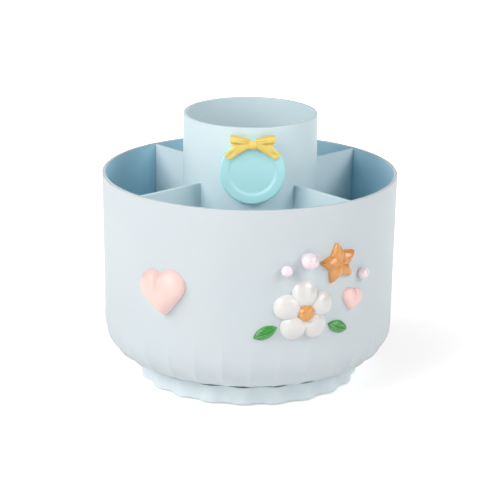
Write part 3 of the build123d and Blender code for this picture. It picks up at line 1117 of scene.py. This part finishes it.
def soft_box(name, azimuth, height, distance, wide, tall, power):
    """A large soft light that stands round the holder and faces it; azimuth 0 is the front."""
    lamp = bpy.data.lights.new(name, "AREA")
    lamp.shape = "RECTANGLE"
    lamp.size = wide
    lamp.size_y = tall
    lamp.energy = power
    lamp.color = srgb(LIGHT_COLOUR)[:3]
    made = bpy.data.objects.new(name, lamp)
    turn = math.radians(azimuth)
    place = Vector((distance * math.sin(turn), -distance * math.cos(turn), height))
    made.location = place
    made.rotation_euler = (LIGHT_AIM - place).to_track_quat("-Z", "Y").to_euler()
    bpy.context.scene.collection.objects.link(made)


def studio_light():
    """A dim sky, two high soft boxes, two low ones at the front and two that light the back."""
    world = bpy.data.worlds.new("studio_sky")
    world.use_nodes = True
    sky = world.node_tree.nodes["Background"]
    sky.inputs["Color"].default_value = srgb(SKY_COLOUR)
    sky.inputs["Strength"].default_value = SKY_STRENGTH
    bpy.context.scene.world = world
    soft_box("left_light", azimuth=-55, height=0.95, distance=1.2, wide=1.4, tall=0.6, power=17.6)
    soft_box("right_light", azimuth=68, height=0.95, distance=1.2, wide=1.0, tall=0.6, power=10.6)
    soft_box("low_left_light", azimuth=-36, height=0.3, distance=1.3, wide=0.7, tall=0.5, power=3.2)
    soft_box("low_right_light", azimuth=50, height=0.3, distance=1.3, wide=0.7, tall=0.5, power=2.7)
    soft_box("back_left_light", azimuth=-160, height=0.3, distance=1.4, wide=0.8, tall=0.5, power=4.6)
    soft_box("back_right_light", azimuth=160, height=0.3, distance=1.4, wide=0.8, tall=0.5, power=4.6)
    bpy.context.scene.view_settings.view_transform = "Standard"


def photo_camera():
    """The camera where the photograph's stood, shifted so that its axis meets the frame at the same pixel."""
    lens = bpy.data.cameras.new("photo_camera")
    lens.sensor_width = CAMERA_SENSOR
    lens.lens = FOCAL_PIXELS / FRAME_PIXELS * CAMERA_SENSOR
    lens.shift_x = (FRAME_PIXELS / 2 - AIM_PIXEL[0]) / FRAME_PIXELS
    lens.shift_y = (AIM_PIXEL[1] - FRAME_PIXELS / 2) / FRAME_PIXELS
    camera = bpy.data.objects.new("photo_camera", lens)
    away = Vector(
        (
            math.cos(CAMERA_ELEVATION) * math.sin(CAMERA_AZIMUTH),
            -math.cos(CAMERA_ELEVATION) * math.cos(CAMERA_AZIMUTH),
            math.sin(CAMERA_ELEVATION),
        )
    )
    camera.location = (Vector((0, 0, AIM_HEIGHT)) + away * CAMERA_DISTANCE) * MM
    facing = away.to_track_quat("Z", "Y").to_matrix()
    camera.rotation_euler = (facing @ Matrix.Rotation(CAMERA_ROLL, 3, "Z")).to_euler()
    bpy.context.scene.collection.objects.link(camera)
    bpy.context.scene.camera = camera


# Moulded ABS with a satin skin: pale and even, with broad dull highlights, and a painted shade of deeper blue
# inside the bowl
pale_blue = moulded_plastic("satin_abs_pale_blue", "#CFDBE1", "#CAD8DE", inner="#B6E4F8")
# The same satin ABS in a lighter tint than the cup's, painted light that makes up for the shade under the
# cup's overhang; its lobes break it into soft bands
base_blue = moulded_plastic("satin_abs_base_blue", "#DDECF2", "#D9E9F0")
# The same satin ABS in a clearer blue, which the centre cup and the dividers show; it is also painted lighter
# than the cup's, as light that makes up for the floor's bounce, which the bowl keeps from them
insert_blue = moulded_plastic("satin_abs_clear_blue", "#D6EBF1", "#D1E8EF")
# Cast resin with a satin skin: an even pale teal, with a soft bright line along the dish's slope
teal = cast_resin("cast_resin_teal", "#C0F4F8", "#B5EFF5", 16, roughness=(0.34, 0.44), coat=0.15)
# Cast resin, tinted unevenly: butter yellow that goes to a warmer gold in small patches
yellow = cast_resin("cast_resin_yellow", "#F9E78C", "#EFCA52", 4, roughness=(0.3, 0.42), coat=0.2)
# Cast resin with a velvety skin: a soft pink whose highlights spread wide
pink = cast_resin(
    "cast_resin_pink", "#F9DFDB", "#F4CDC7", 6, roughness=(0.35, 0.5), coat=0.1, skin_strength=0.3
)
# Cast resin, glossy: a clean white with small clear highlights on each petal
white = cast_resin("cast_resin_white", "#E6E8E7", "#DCDFE0", 9)
# Cast resin, glossy: light caramel that darkens in slow drifts
caramel = cast_resin("cast_resin_caramel", "#EDB56C", "#CE7F38", 7)
# Cast resin under a thick clear coat: milky lilac with a sharp pearl highlight
pearl = cast_resin("cast_resin_pearl", "#F6F1F4", "#E9D6E6", 4, roughness=(0.12, 0.2), coat=0.8)
# Cast resin, glossy: leaf green in two mixed shades
green = cast_resin("cast_resin_green", "#4FAE50", "#2C8237", 4)

# The holder
outer_cup(pale_blue)
divider_insert(insert_blue)
scalloped_base(base_blue)
dish_charm(teal)
bow_charm(yellow)
heart_charm(
    "heart_charm_resin",
    HEART_SIDE,
    HEART_THICKNESS,
    HEART_TILT,
    lambda shape: wrap_on_cup(shape, HEART_ANGLE, HEART_HEIGHT),
    pink,
    "heart_charm",
)
flower_charm(white)
flower_centre(caramel)
star_charm(caramel)
heart_charm(
    "small_heart_charm_resin",
    SMALL_HEART_SIDE,
    SMALL_HEART_THICKNESS,
    SMALL_HEART_TILT,
    lambda shape: wrap_by_flower(shape, *SMALL_HEART_PLACE),
    pink,
    "small_heart_charm",
)
for number, (across, up, diameter) in enumerate(PEARLS, start=1):
    pearl_charm(number, across, up, diameter, pearl)
for number, (across, up, tilt) in enumerate(LEAVES, start=1):
    leaf_charm(number, across, up, tilt, green)
dress_cad_nodes()

# The studio
studio_floor()
studio_light()
photo_camera()
